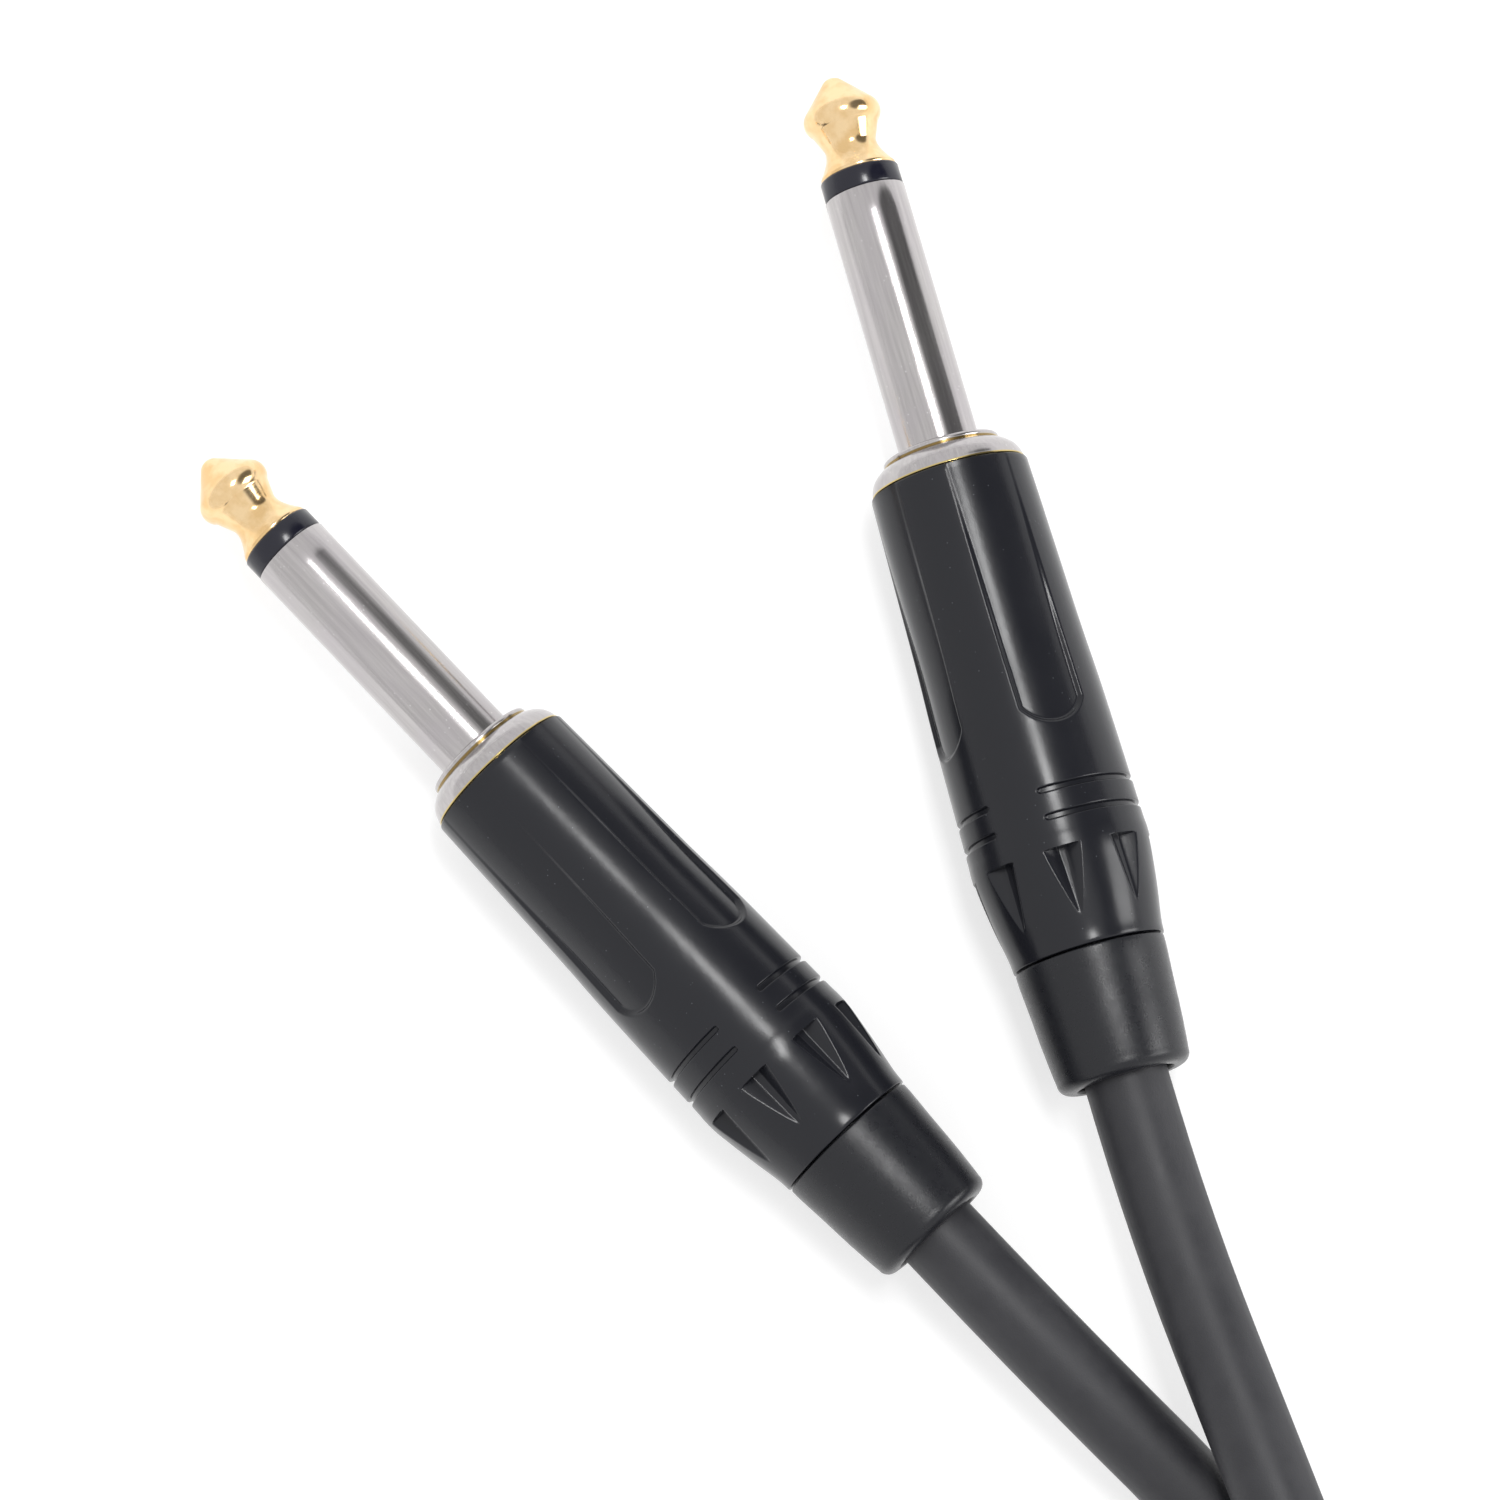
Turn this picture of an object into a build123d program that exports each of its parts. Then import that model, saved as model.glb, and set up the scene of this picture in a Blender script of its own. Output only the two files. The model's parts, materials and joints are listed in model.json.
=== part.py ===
"""Instrument cable: two straight quarter-inch mono plugs on the ends of one 6.5 mm cable.

Each plug is modelled once in its own frame: the local Z axis runs from the tip towards the
cable, and every "at" or "end" value below is a station, the distance from the tip's apex.
The two plugs are then laid on the floor, plane Z = 0, with plug B's tip pointing along +Y.
"""

from build123d import *
from math import cos, pi, radians, sin, tan
import os

os.makedirs("parts", exist_ok=True)

# ---------------------------------------------------------------- driving dimensions, mm

# tip contact and its rod
tip_end = 8.1
tip_rim_radius = 3.0
tip_rim_width = 0.15
tip_rim_bevel = 0.1
nose_radius = 1.1
nose_half_angle = 43.0
ball_radius = 3.1
ball_round = 1.2
neck_radius = 2.07
neck_at = 5.75
rod_radius = 1.2
rod_head_radius = 1.6
rod_head_length = 0.6
rod_head_bevel = 0.4
ball_back_angle = 50.0

# insulators
ring_radius = 3.13
ring_end = 9.75
ring_bevel = 0.1
ring_step = 1.5
rod_tube_radius = 2.0
rod_tube_end = 39.0
washer_radius = 3.2
washer_length = 1.2

# sleeve, collar and the thread that the shell screws on
sleeve_radius = 3.175
sleeve_end = 31.0
sleeve_bevel = 0.08
shoulder_radius = 4.6
shoulder_at = 31.45
shoulder_bevel = 0.3
dome_foot = (31.55, 4.54)
dome_side = (32.2, 5.55)
collar_end = 33.5
collar_radius = 6.1
collar_rim = (33.05, 6.04)
front_thread_radius = 5.0
front_thread_end = 38.5
thread_bevel = 0.3
boss_radius = 3.0
boss_length = 0.9

# solder lugs
lug_thickness = 0.5
ground_lug_radius = 4.1
ground_blade_width = 2.4
ground_blade_end = 46.5
tip_lug_radius = 2.2
tip_blade_width = 2.6
tip_blade_end = 46.3

# cable
cable_radius = 3.25
jacket_start = 50.5
core_radius = 1.1
core_start = 48.6
conductor_radius = 0.5
shield_radius = 0.8
solder_radius = 1.15
solder_bed = 0.12
conductor_path_end = 42.9
conductor_foot = 45.9
shield_path_end = 43.0
shield_foot = 47.4
shield_exit = 2.0
wire_lead = 0.9
solder_tip_at = 44.3
solder_ground_at = 44.5

# shell, front to rear: (station, radius)
shell_profile = [
    (33.55, 6.25),
    (36.9, 6.335),
    (41.6, 6.44),
    (47.5, 6.575),
    (52.1, 6.75),
    (58.0, 6.875),
    (62.7, 6.95),
]
shell_belly_at = 63.8
shell_belly_radius = 7.0
shell_tail = [
    (64.9, 6.965),
    (66.2, 6.8),
    (68.5, 6.45),
    (70.8, 6.05),
    (72.0, 5.95),
]
shell_front = shell_profile[0][0]
shell_end = shell_tail[-1][0]
shell_thread_end = 39.5
shell_cavity_radius = 5.4
shell_cavity_end = 56.0
shell_rear_bore = 4.8
shell_cone_end = 58.0

# shell decoration, cut from a radius clear of the shell inwards
clear_radius = 9.0
flute_count = 4
flute_angle = 50.0
flute_depth = 0.35
flute_end = 55.2
flute_corner = 2.7
groove_stations = (60.0, 62.1)
groove_width = 0.5
groove_floor = 6.6
groove_arc = 145.0
land_angle = 45.0
notch_count = 8
notch_start = 64.4
notch_end = 70.2
notch_floor_start = 6.0
notch_floor_end = 6.27
notch_floor_width = 0.8
notch_side_slope = 1.25
notch_tip_half_width = 0.03

# liner, chuck, gland and boot
fit = 0.05
liner_start = 40.9
liner_end = 51.3
liner_radius = 5.3
liner_bore = 4.6
chuck_start = 51.9
chuck_collar_end = 55.0
chuck_collar_radius = 4.65
chuck_finger_radius = 4.3
chuck_shoulder = 0.4
chuck_taper_at = 67.3
chuck_end = 69.6
chuck_nose_radius = 3.68
chuck_bore = 3.33
slot_width = 0.8
slot_start = 56.5
gland_start = 66.9
gland_radius = 4.75
gland_bevel = 0.25
gland_bore = 4.37
gland_cone_at = 67.3
gland_cone_end = 70.4
gland_exit_bore = 3.55
gland_stem_end = 76.0
gland_stem_radius = 4.3
boot_start = 72.15
boot_end = 82.0
boot_bore = 3.5
boot_mouth_bore = 3.75
boot_mouth_at = 80.9
boot_rear_round = 0.9
boot_profile = [
    (72.15, 5.86),
    (73.2, 5.82),
    (75.5, 5.65),
    (77.9, 5.5),
    (80.2, 5.3),
    (81.1, 5.22),
]

# where the two plugs lie: (x, y) of the tip, heading of the cable end, and roll
axis_height = shell_belly_radius
plug_b_tip = (24.65, 45.7)
plug_b_heading = -90.0
plug_b_roll = -19.5
plug_a_tip = (-30.3, 29.1)
plug_a_heading = -62.4
plug_a_roll = -45.3

# hank of the put-away length: a long loop of turns, three abreast and four high, in a tie
exit_straight = 14.0
hank_x = -3.5
hank_north = -147.0
hank_straight = 54.0
hank_outer_turn = 31.5
hank_inner_turn = 18.5
hank_layers = 4
hank_corner = 3.0
tie_thickness = 1.2
tie_width = 16.0
tie_corner = 4.0

cable_diameter = 2 * cable_radius
hank_height = hank_layers * cable_diameter
hank_outer = hank_outer_turn + cable_radius
hank_inner = hank_inner_turn - cable_radius
hank_top_turn = hank_height - cable_radius
hank_middle = hank_north - hank_straight / 2


# ---------------------------------------------------------------- plug pieces, plug frame


def station(value, radius):
    """A point of a turned profile, in the XZ plane."""
    return (radius, value)


def ring(start, end, outer, inner):
    """A plain tube between two stations."""
    with BuildPart() as tube:
        with BuildSketch(Plane.XY.offset(start)):
            Circle(outer)
            Circle(inner, mode=Mode.SUBTRACT)
        extrude(amount=end - start)
    return tube


def blade(width, inside, start, end):
    """A flat tongue of lug sheet along the plug, its near face at x = inside."""
    outside = inside + lug_thickness if inside > 0 else inside - lug_thickness
    with BuildSketch(Plane.XY.offset(start)) as outline:
        with Locations(((inside + outside) / 2, 0)):
            Rectangle(lug_thickness, width)
    extrude(outline.sketch, amount=end - start)


def wire(points, bends, radius):
    """A short wire in the XZ plane through the given points, with rounded bends."""
    with BuildPart() as strand:
        with BuildLine(Plane.XZ) as path:
            FilletPolyline(*points, radius=bends)
        with BuildSketch(Plane(origin=path.line @ 0, z_dir=path.line % 0)):
            Circle(radius)
        sweep()
    return strand


# gold-plated tip: rounded nose, cone, ball, neck and rim, with its rod and rivet head
lean = radians(nose_half_angle)
nose_touch = station(nose_radius * (1 - sin(lean)), nose_radius * cos(lean))
ball_centre_radius = ball_radius - ball_round
ball_touch_radius = ball_centre_radius + ball_round * cos(lean)
ball_touch_at = nose_touch[1] + (ball_touch_radius - nose_touch[0]) / tan(lean)
ball_at = ball_touch_at + ball_round * sin(lean)
back_lean = radians(ball_back_angle)
ball_back_at = ball_at + ball_round * sin(back_lean)
ball_back_radius = ball_centre_radius + ball_round * cos(back_lean)
rim_foot = station(tip_end - tip_rim_width - tip_rim_bevel, tip_rim_radius - tip_rim_bevel / 2)
rod_end = front_thread_end + boss_length + washer_length + lug_thickness

with BuildPart() as tip_contact:
    with BuildSketch(Plane.XZ):
        with BuildLine():
            nose_mid = radians(90 - nose_half_angle) / 2
            ThreePointArc(
                station(0, 0),
                station(nose_radius * (1 - cos(nose_mid)), nose_radius * sin(nose_mid)),
                nose_touch,
            )
            Line(nose_touch, station(ball_touch_at, ball_touch_radius))
            ThreePointArc(
                station(ball_touch_at, ball_touch_radius),
                station(ball_at, ball_radius),
                station(ball_back_at, ball_back_radius),
            )
            Spline(
                station(ball_back_at, ball_back_radius),
                station(neck_at, neck_radius),
                rim_foot,
                tangents=[(-sin(back_lean), cos(back_lean)), (0, 1), (0.75, 0.66)],
            )
            Polyline(
                rim_foot,
                station(tip_end - tip_rim_width, tip_rim_radius),
                station(tip_end, tip_rim_radius),
                station(tip_end, rod_radius),
                station(rod_end, rod_radius),
                station(rod_end, rod_head_radius),
                station(rod_end + rod_head_length, rod_head_radius - rod_head_bevel),
                station(rod_end + rod_head_length, 0),
                station(0, 0),
            )
        make_face()
    revolve(axis=Axis.Z)

# insulating ring between the tip and the sleeve
with BuildPart() as tip_insulator:
    with BuildSketch(Plane.XZ):
        with BuildLine():
            Polyline(
                station(tip_end, rod_radius),
                station(tip_end, ring_radius - ring_bevel),
                station(tip_end + ring_bevel, ring_radius),
                station(ring_end, ring_radius),
                station(ring_end, rod_tube_radius),
                station(ring_end + ring_step, rod_tube_radius),
                station(ring_end + ring_step, rod_radius),
                close=True,
            )
        make_face()
    revolve(axis=Axis.Z)

# tube that insulates the rod inside the sleeve
rod_insulator = ring(ring_end + ring_step, rod_tube_end, rod_tube_radius, rod_radius)

# nickel-plated sleeve, with the domed collar and the thread behind it
with BuildPart() as sleeve:
    with BuildSketch(Plane.XZ):
        with BuildLine():
            Polyline(
                station(*collar_rim),
                station(collar_end, collar_radius),
                station(collar_end, front_thread_radius),
                station(front_thread_end - thread_bevel, front_thread_radius),
                station(front_thread_end, front_thread_radius - thread_bevel),
                station(front_thread_end, boss_radius),
                station(front_thread_end + boss_length, boss_radius),
                station(front_thread_end + boss_length, rod_tube_radius),
                station(ring_end, rod_tube_radius),
                station(ring_end, sleeve_radius - sleeve_bevel),
                station(ring_end + sleeve_bevel, sleeve_radius),
                station(sleeve_end, sleeve_radius),
                station(sleeve_end, shoulder_radius - shoulder_bevel),
                station(sleeve_end + shoulder_bevel, shoulder_radius),
                station(shoulder_at, shoulder_radius),
                station(*dome_foot),
            )
            Spline(
                station(*dome_foot),
                station(*dome_side),
                station(*collar_rim),
                tangents=[(1.0, 0.35), (0.25, 1.0)],
            )
        make_face()
    revolve(axis=Axis.Z)

# ground lug: a ring riveted on the sleeve's boss, with a blade for the shield
with BuildPart() as ground_lug:
    with BuildSketch(Plane.XY.offset(front_thread_end)):
        Circle(ground_lug_radius)
        Circle(boss_radius, mode=Mode.SUBTRACT)
    extrude(amount=lug_thickness)
    blade(ground_blade_width, ground_lug_radius - lug_thickness, front_thread_end, ground_blade_end)

# insulating washer between the sleeve and the tip lug
washer_start = front_thread_end + boss_length
rear_insulator = ring(washer_start, washer_start + washer_length, washer_radius, rod_radius)

# tip lug: a disc under the rivet head, with a blade for the conductor
tip_lug_start = washer_start + washer_length
with BuildPart() as tip_lug:
    with BuildSketch(Plane.XY.offset(tip_lug_start)):
        Circle(tip_lug_radius)
        Circle(rod_radius, mode=Mode.SUBTRACT)
    extrude(amount=lug_thickness)
    blade(tip_blade_width, -tip_lug_radius + lug_thickness, tip_lug_start, tip_blade_end)

# the cable's end inside the plug
with BuildPart() as jacket_end:
    with BuildSketch(Plane.XY.offset(jacket_start)):
        Circle(cable_radius)
    extrude(amount=boot_end - jacket_start)

with BuildPart() as core:
    with BuildSketch(Plane.XY.offset(core_start)):
        Circle(core_radius)
    extrude(amount=jacket_start - core_start)

tip_blade_face = lug_thickness - tip_lug_radius
conductor_lie = tip_blade_face + solder_bed + conductor_radius
conductor = wire(
    [
        (0, core_start),
        (0, core_start - wire_lead),
        (conductor_lie, conductor_foot),
        (conductor_lie, conductor_path_end),
    ],
    0.8,
    conductor_radius,
)

ground_blade_face = ground_lug_radius - lug_thickness
shield_lie = ground_blade_face - solder_bed - shield_radius
shield_tail = wire(
    [
        (shield_exit, jacket_start),
        (shield_exit, jacket_start - wire_lead),
        (shield_lie, shield_foot),
        (shield_lie, shield_path_end),
    ],
    0.9,
    shield_radius,
)


def solder_joint(lie, face, at, strand):
    """A drop of solder round a wire's end, cut back to the wire and to the blade's face."""
    side = Align.MIN if face > 0 else Align.MAX
    with BuildPart() as drop:
        with Locations((lie, 0, at)):
            Sphere(solder_radius)
        add(strand.part, mode=Mode.SUBTRACT)
        with Locations((face, 0, at)):
            Box(4, 4, 4, align=(side, Align.CENTER, Align.CENTER), mode=Mode.SUBTRACT)
    return drop


solder_tip = solder_joint(conductor_lie, tip_blade_face, solder_tip_at, conductor)
solder_ground = solder_joint(shield_lie, ground_blade_face, solder_ground_at, shield_tail)

# insulating liner round the solder joints
liner = ring(liner_start, liner_end, liner_radius, liner_bore)


def shell_outer():
    """The shell's outer line as edges, front to rear."""
    Polyline(*[station(*p) for p in shell_profile])
    ThreePointArc(
        station(*shell_profile[-1]),
        station(shell_belly_at, shell_belly_radius),
        station(*shell_tail[0]),
    )
    Polyline(*[station(*p) for p in shell_tail])


# one flute: a shallow band under the surface, cut to a long tongue with a rounded end
flute_half_width = shell_profile[3][1] * sin(radians(flute_angle / 2))
with BuildPart() as flute:
    with BuildSketch(Plane.XZ):
        with BuildLine():
            floor_line = [station(s, r - flute_depth) for s, r in shell_profile]
            Polyline(
                station(shell_front - 1, shell_profile[0][1] - flute_depth),
                *floor_line[1:],
                station(floor_line[-1][1], clear_radius),
                station(shell_front - 1, clear_radius),
                close=True,
            )
        make_face()
    revolve(axis=Axis.Z)
    with BuildSketch(Plane.YZ) as tongue:
        with Locations((0, (shell_front - 5 + flute_end) / 2)):
            RectangleRounded(2 * flute_half_width, flute_end - shell_front + 5, flute_corner - 0.01)
    extrude(amount=12, mode=Mode.INTERSECT)

# one notch: a tapering trough with sloped sides and a square upper wall
with BuildPart() as notch:
    for at, floor, half in (
        (notch_start, notch_floor_start, notch_floor_width / 2),
        (notch_end, notch_floor_end, notch_tip_half_width),
    ):
        rim = half + (clear_radius - floor) * notch_side_slope
        with BuildSketch(Plane.XY.offset(at)):
            Polygon((floor, -half), (clear_radius, -rim), (clear_radius, rim), (floor, half), align=None)
    loft(ruled=True)

# glossy black shell
with BuildPart() as shell:
    with BuildSketch(Plane.XZ):
        with BuildLine():
            shell_outer()
            Polyline(
                station(shell_end, shell_tail[-1][1]),
                station(shell_end, shell_rear_bore),
                station(shell_cone_end, shell_rear_bore),
                station(shell_cavity_end, shell_cavity_radius),
                station(shell_thread_end, shell_cavity_radius),
                station(shell_thread_end, front_thread_radius + fit),
                station(shell_front, front_thread_radius + fit),
                station(*shell_profile[0]),
            )
        make_face()
    revolve(axis=Axis.Z)
    with PolarLocations(0, flute_count):
        add(flute.part, mode=Mode.SUBTRACT)
    for at in groove_stations:
        for side in (90, 270):
            with BuildSketch(Plane.XZ.rotated((0, 0, land_angle + side - groove_arc / 2))):
                with Locations((groove_floor, at)):
                    Rectangle(2, groove_width, align=(Align.MIN, Align.CENTER))
            revolve(axis=Axis.Z, revolution_arc=groove_arc, mode=Mode.SUBTRACT)
    with PolarLocations(0, notch_count, start_angle=180 / notch_count):
        add(notch.part, mode=Mode.SUBTRACT)

# split chuck that grips the cable
with BuildPart() as chuck:
    with BuildSketch(Plane.XZ):
        with BuildLine():
            Polyline(
                station(chuck_start, chuck_bore),
                station(chuck_start, chuck_collar_radius),
                station(chuck_collar_end, chuck_collar_radius),
                station(chuck_collar_end + chuck_shoulder, chuck_finger_radius),
                station(chuck_taper_at, chuck_finger_radius),
                station(chuck_end, chuck_nose_radius),
                station(chuck_end, chuck_bore),
                close=True,
            )
        make_face()
    revolve(axis=Axis.Z)
    with BuildSketch(Plane.XY.offset(slot_start)):
        Rectangle(12, slot_width)
        Rectangle(slot_width, 12)
    extrude(amount=chuck_end - slot_start, mode=Mode.SUBTRACT)

# threaded gland that squeezes the chuck, with a stem inside the boot
with BuildPart() as gland:
    with BuildSketch(Plane.XZ):
        with BuildLine():
            Polyline(
                station(gland_start, gland_bore),
                station(gland_start, gland_radius - gland_bevel),
                station(gland_start + gland_bevel, gland_radius),
                station(shell_end, gland_radius),
                station(shell_end, gland_stem_radius),
                station(gland_stem_end, gland_stem_radius),
                station(gland_stem_end, gland_exit_bore),
                station(gland_cone_end, gland_exit_bore),
                station(gland_cone_at, gland_bore),
                close=True,
            )
        make_face()
    revolve(axis=Axis.Z)

# satin boot moulded over the gland's stem
with BuildPart() as boot:
    with BuildSketch(Plane.XZ):
        with BuildLine():
            Polyline(*[station(*p) for p in boot_profile])
            rear_edge = station(boot_end, boot_profile[-1][1] - boot_rear_round)
            RadiusArc(station(*boot_profile[-1]), rear_edge, -boot_rear_round)
            Polyline(
                rear_edge,
                station(boot_end, boot_mouth_bore),
                station(boot_mouth_at, boot_mouth_bore),
                station(boot_mouth_at, boot_bore),
                station(gland_stem_end, boot_bore),
                station(gland_stem_end, gland_stem_radius),
                station(boot_start, gland_stem_radius),
                station(*boot_profile[0]),
            )
        make_face()
    revolve(axis=Axis.Z)

# ---------------------------------------------------------------- both plugs, laid down

plug_pieces = {
    "tip_contact": tip_contact,
    "tip_insulator": tip_insulator,
    "rod_insulator": rod_insulator,
    "sleeve": sleeve,
    "ground_lug": ground_lug,
    "rear_insulator": rear_insulator,
    "tip_lug": tip_lug,
    "jacket_end": jacket_end,
    "core": core,
    "conductor": conductor,
    "shield_tail": shield_tail,
    "solder_tip": solder_tip,
    "solder_ground": solder_ground,
    "liner": liner,
    "shell": shell,
    "chuck": chuck,
    "gland": gland,
    "boot": boot,
}


def laid(tip, heading, roll):
    """Where a plug lies: local Z along its heading, local X upwards before the roll."""
    away = (cos(radians(heading)), sin(radians(heading)), 0)
    lying = Plane(origin=(*tip, axis_height), x_dir=(0, 0, 1), z_dir=away)
    return lying.location * Location((0, 0, 0), (0, 0, roll))


places = {
    "a": laid(plug_a_tip, plug_a_heading, plug_a_roll),
    "b": laid(plug_b_tip, plug_b_heading, plug_b_roll),
}

for end, place in places.items():
    for name, piece in plug_pieces.items():
        with BuildPart() as placed:
            with Locations(place):
                add(piece.part)
        placed.part.label = f"{name}_{end}"
        export_step(placed.part, f"parts/{name}_{end}.step")

# ---------------------------------------------------------------- the free cable


def on_axis(tip, heading, at):
    """The point of a laid plug's axis at a station."""
    turn = radians(heading)
    return (tip[0] + at * cos(turn), tip[1] + at * sin(turn), axis_height)


def corner_radii(points):
    """For each inner point, 0.45 of its shorter run over the tangent of half its turn."""
    radii = []
    for before, here, after in zip(points, points[1:], points[2:]):
        run_in = Vector(*here) - Vector(*before)
        run_out = Vector(*after) - Vector(*here)
        turn = radians(run_in.get_angle(run_out))
        radii.append(0.45 * min(run_in.length, run_out.length) / tan(turn / 2))
    return radii


def lead(points, name):
    """A stretch of free cable along a route of straight runs joined by arcs."""
    radii = corner_radii(points)
    with BuildPart() as tube:
        with BuildLine() as route:
            FilletPolyline(*points, radius=radii)
        with BuildSketch(Plane(origin=route.line @ 0, z_dir=route.line % 0)):
            Circle(cable_radius)
        sweep()
    length = route.wires()[0].length
    share = tube.part.volume / (pi * cable_radius**2 * length)
    print(name, "length", round(length, 1), "volume share", round(share, 4))
    print(name, "radii", [round(r) for r in radii])
    tube.part.label = name
    export_step(tube.part, f"parts/{name}.step")


# lead B passes over lead A, then climbs to the hank's top turn on its right side
route_b = [
    on_axis(plug_b_tip, plug_b_heading, boot_end),
    on_axis(plug_b_tip, plug_b_heading, boot_end + exit_straight),
    (26.0, -67.0, 10.3),
    (27.6, -86.0, 10.4),
    (28.3, -106.0, 13.6),
    (28.2, -126.0, 19.6),
    (hank_x + hank_outer_turn, hank_north, hank_top_turn),
]

# lead A lies on the floor under lead B and curves round to the hank's lowest turn
route_a = [
    on_axis(plug_a_tip, plug_a_heading, boot_end),
    on_axis(plug_a_tip, plug_a_heading, boot_end + exit_straight),
    (24.4, -73.3, 3.3),
    (25.4, -90.0, 3.3),
    (18.2, -105.2, 3.3),
    (4.6, -115.0, 3.3),
    (-12.2, -117.0, 3.3),
]

lead(route_a, "cable_lead_a")
lead(route_b, "cable_lead_b")

# the tie: a band round the hank's left side, halfway along
bundle = hank_outer - hank_inner
tie_height = hank_height + 2 * tie_thickness
tie_side = bundle + 2 * tie_thickness
tie_x = hank_x - hank_outer + tie_side / 2
with BuildPart() as cable_tie:
    with BuildSketch(Plane.XZ.offset(-hank_middle - tie_width / 2)):
        with Locations((tie_x, tie_height / 2)):
            RectangleRounded(tie_side, tie_height, tie_corner)
            RectangleRounded(bundle, hank_height, tie_corner - tie_thickness, mode=Mode.SUBTRACT)
    extrude(amount=tie_width)
cable_tie.part.label = "cable_tie"
export_step(cable_tie.part, "parts/cable_tie.step")

# the hank: a long ring on the floor, let in where the tie goes round it
with BuildPart() as cable_hank:
    with BuildSketch(Plane.XY):
        with Locations((hank_x, hank_middle)):
            SlotOverall(hank_straight + 2 * hank_outer, 2 * hank_outer, rotation=90)
            SlotOverall(hank_straight + 2 * hank_inner, 2 * hank_inner, rotation=90, mode=Mode.SUBTRACT)
    extrude(amount=hank_height)
    rims = cable_hank.edges().filter_by(lambda edge: abs(edge.tangent_at(0.5).Z) < 0.5)
    fillet(rims, hank_corner)
    with BuildSketch(Plane.XZ.offset(-hank_middle - tie_width / 2)):
        with Locations((tie_x, tie_height / 2)):
            Rectangle(tie_side + 1, tie_height + 1)
            RectangleRounded(bundle, hank_height, tie_corner - tie_thickness, mode=Mode.SUBTRACT)
    extrude(amount=tie_width, mode=Mode.SUBTRACT)
cable_hank.part.label = "cable_hank"
export_step(cable_hank.part, "parts/cable_hank.step")
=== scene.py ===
"""Looks of the instrument cable: two quarter-inch plugs and their cable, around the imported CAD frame.

Lengths are millimetres and are scaled to metres where the meshes are made; only the camera, the
floor and the lamps are given in metres. A plug's pieces are made in the plug's own frame, where
local Z runs from the tip towards the cable and a "station" is the distance from the tip's apex.
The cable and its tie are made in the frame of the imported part.
"""

import json
from math import cos, pi, radians, sin, tan

import bpy
import numpy as np
from mathutils import Matrix, Vector


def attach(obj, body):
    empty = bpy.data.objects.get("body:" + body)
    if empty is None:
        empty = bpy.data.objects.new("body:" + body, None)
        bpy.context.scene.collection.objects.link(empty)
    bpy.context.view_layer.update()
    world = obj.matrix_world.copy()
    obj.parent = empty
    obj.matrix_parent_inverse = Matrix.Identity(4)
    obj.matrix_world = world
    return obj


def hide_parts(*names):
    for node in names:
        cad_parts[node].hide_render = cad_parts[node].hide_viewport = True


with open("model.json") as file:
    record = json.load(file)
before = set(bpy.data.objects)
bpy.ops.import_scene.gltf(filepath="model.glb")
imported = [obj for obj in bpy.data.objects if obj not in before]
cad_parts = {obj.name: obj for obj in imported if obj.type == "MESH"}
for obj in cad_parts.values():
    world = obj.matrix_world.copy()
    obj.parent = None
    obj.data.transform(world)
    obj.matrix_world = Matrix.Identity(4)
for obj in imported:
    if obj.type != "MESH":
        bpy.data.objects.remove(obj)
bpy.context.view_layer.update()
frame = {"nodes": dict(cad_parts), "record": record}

MM = 0.001
scene = bpy.context.scene

# ---------------------------------------------------------------- where the plugs lie

# the station of each plug's mount in the record
MOUNT_STATION = 19.6
# each plug's turn about its own axis, which brings the shell's flutes round
PLUG_ROLL = {"a": radians(-45.3), "b": radians(-19.5)}
CABLE_RADIUS = 3.25


def plug_place(end):
    """The plug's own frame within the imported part's: local Z from the tip to the cable."""
    mounts = {m["name"]: m for m in frame["record"]["mounts"]}
    mount = mounts[f"plug_{end}"]
    towards_tip = Vector(mount["axis"]).normalized()
    tip = Vector(mount["pos_m"]) + towards_tip * MOUNT_STATION * MM
    local_z = -towards_tip
    local_x = Vector((0, 0, 1))
    local_y = local_z.cross(local_x)
    turn = Matrix((local_x, local_y, local_z)).transposed().to_4x4()
    return Matrix.Translation(tip) @ turn @ Matrix.Rotation(PLUG_ROLL[end], 4, "Z")


place = {end: plug_place(end) for end in "ab"}


def on_axis(end, at):
    """The point of a plug's axis at a station, in metres."""
    return place[end] @ Vector((0, 0, at * MM))


# ---------------------------------------------------------------- camera

AZIMUTH = radians(-15.7)
ELEVATION = radians(79.0)
LOOK_AT = Vector((0.00446, -0.00281, 0.0))
DISTANCE = 0.4665

back = Vector((sin(AZIMUTH) * cos(ELEVATION), -cos(AZIMUTH) * cos(ELEVATION), sin(ELEVATION)))
camera_data = bpy.data.cameras.new("camera")
camera_data.lens = 144.0
camera_data.sensor_width = 36.0
camera_data.clip_start = 0.01
camera = bpy.data.objects.new("camera", camera_data)
camera.location = LOOK_AT + back * DISTANCE
camera.rotation_mode = "QUATERNION"
camera.rotation_quaternion = (-back).to_track_quat("-Z", "Y")
scene.collection.objects.link(camera)
scene.camera = camera

# ---------------------------------------------------------------- the cord

# the free stretch at plug B, from its boot to the hank's top turn
ROUTE_B = [
    (24.72, -48.5, 7.0),
    (26.0, -67.0, 10.3),
    (27.6, -86.0, 10.4),
    (28.3, -106.0, 13.6),
    (28.2, -126.0, 19.6),
]
# the free stretch at plug A, from its boot to the hank's lowest turn
ROUTE_A = [
    (14.18, -55.97, 7.0),
    (24.4, -73.3, 3.3),
    (25.4, -90.0, 3.3),
    (18.2, -103.6, 3.3),
    (4.6, -111.9, 3.3),
    (-12.2, -113.6, 3.3),
]

# the hank: turns three abreast and four high, long side along Y
HANK_X = -3.5
HANK_NORTH = -147.0
HANK_STRAIGHT = 54.0
HANK_OUTER = 31.5
HANK_INNER = 18.5
PITCH = 2 * CABLE_RADIUS
LAYERS = 4
LAYER_TURNS = 2.0
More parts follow.
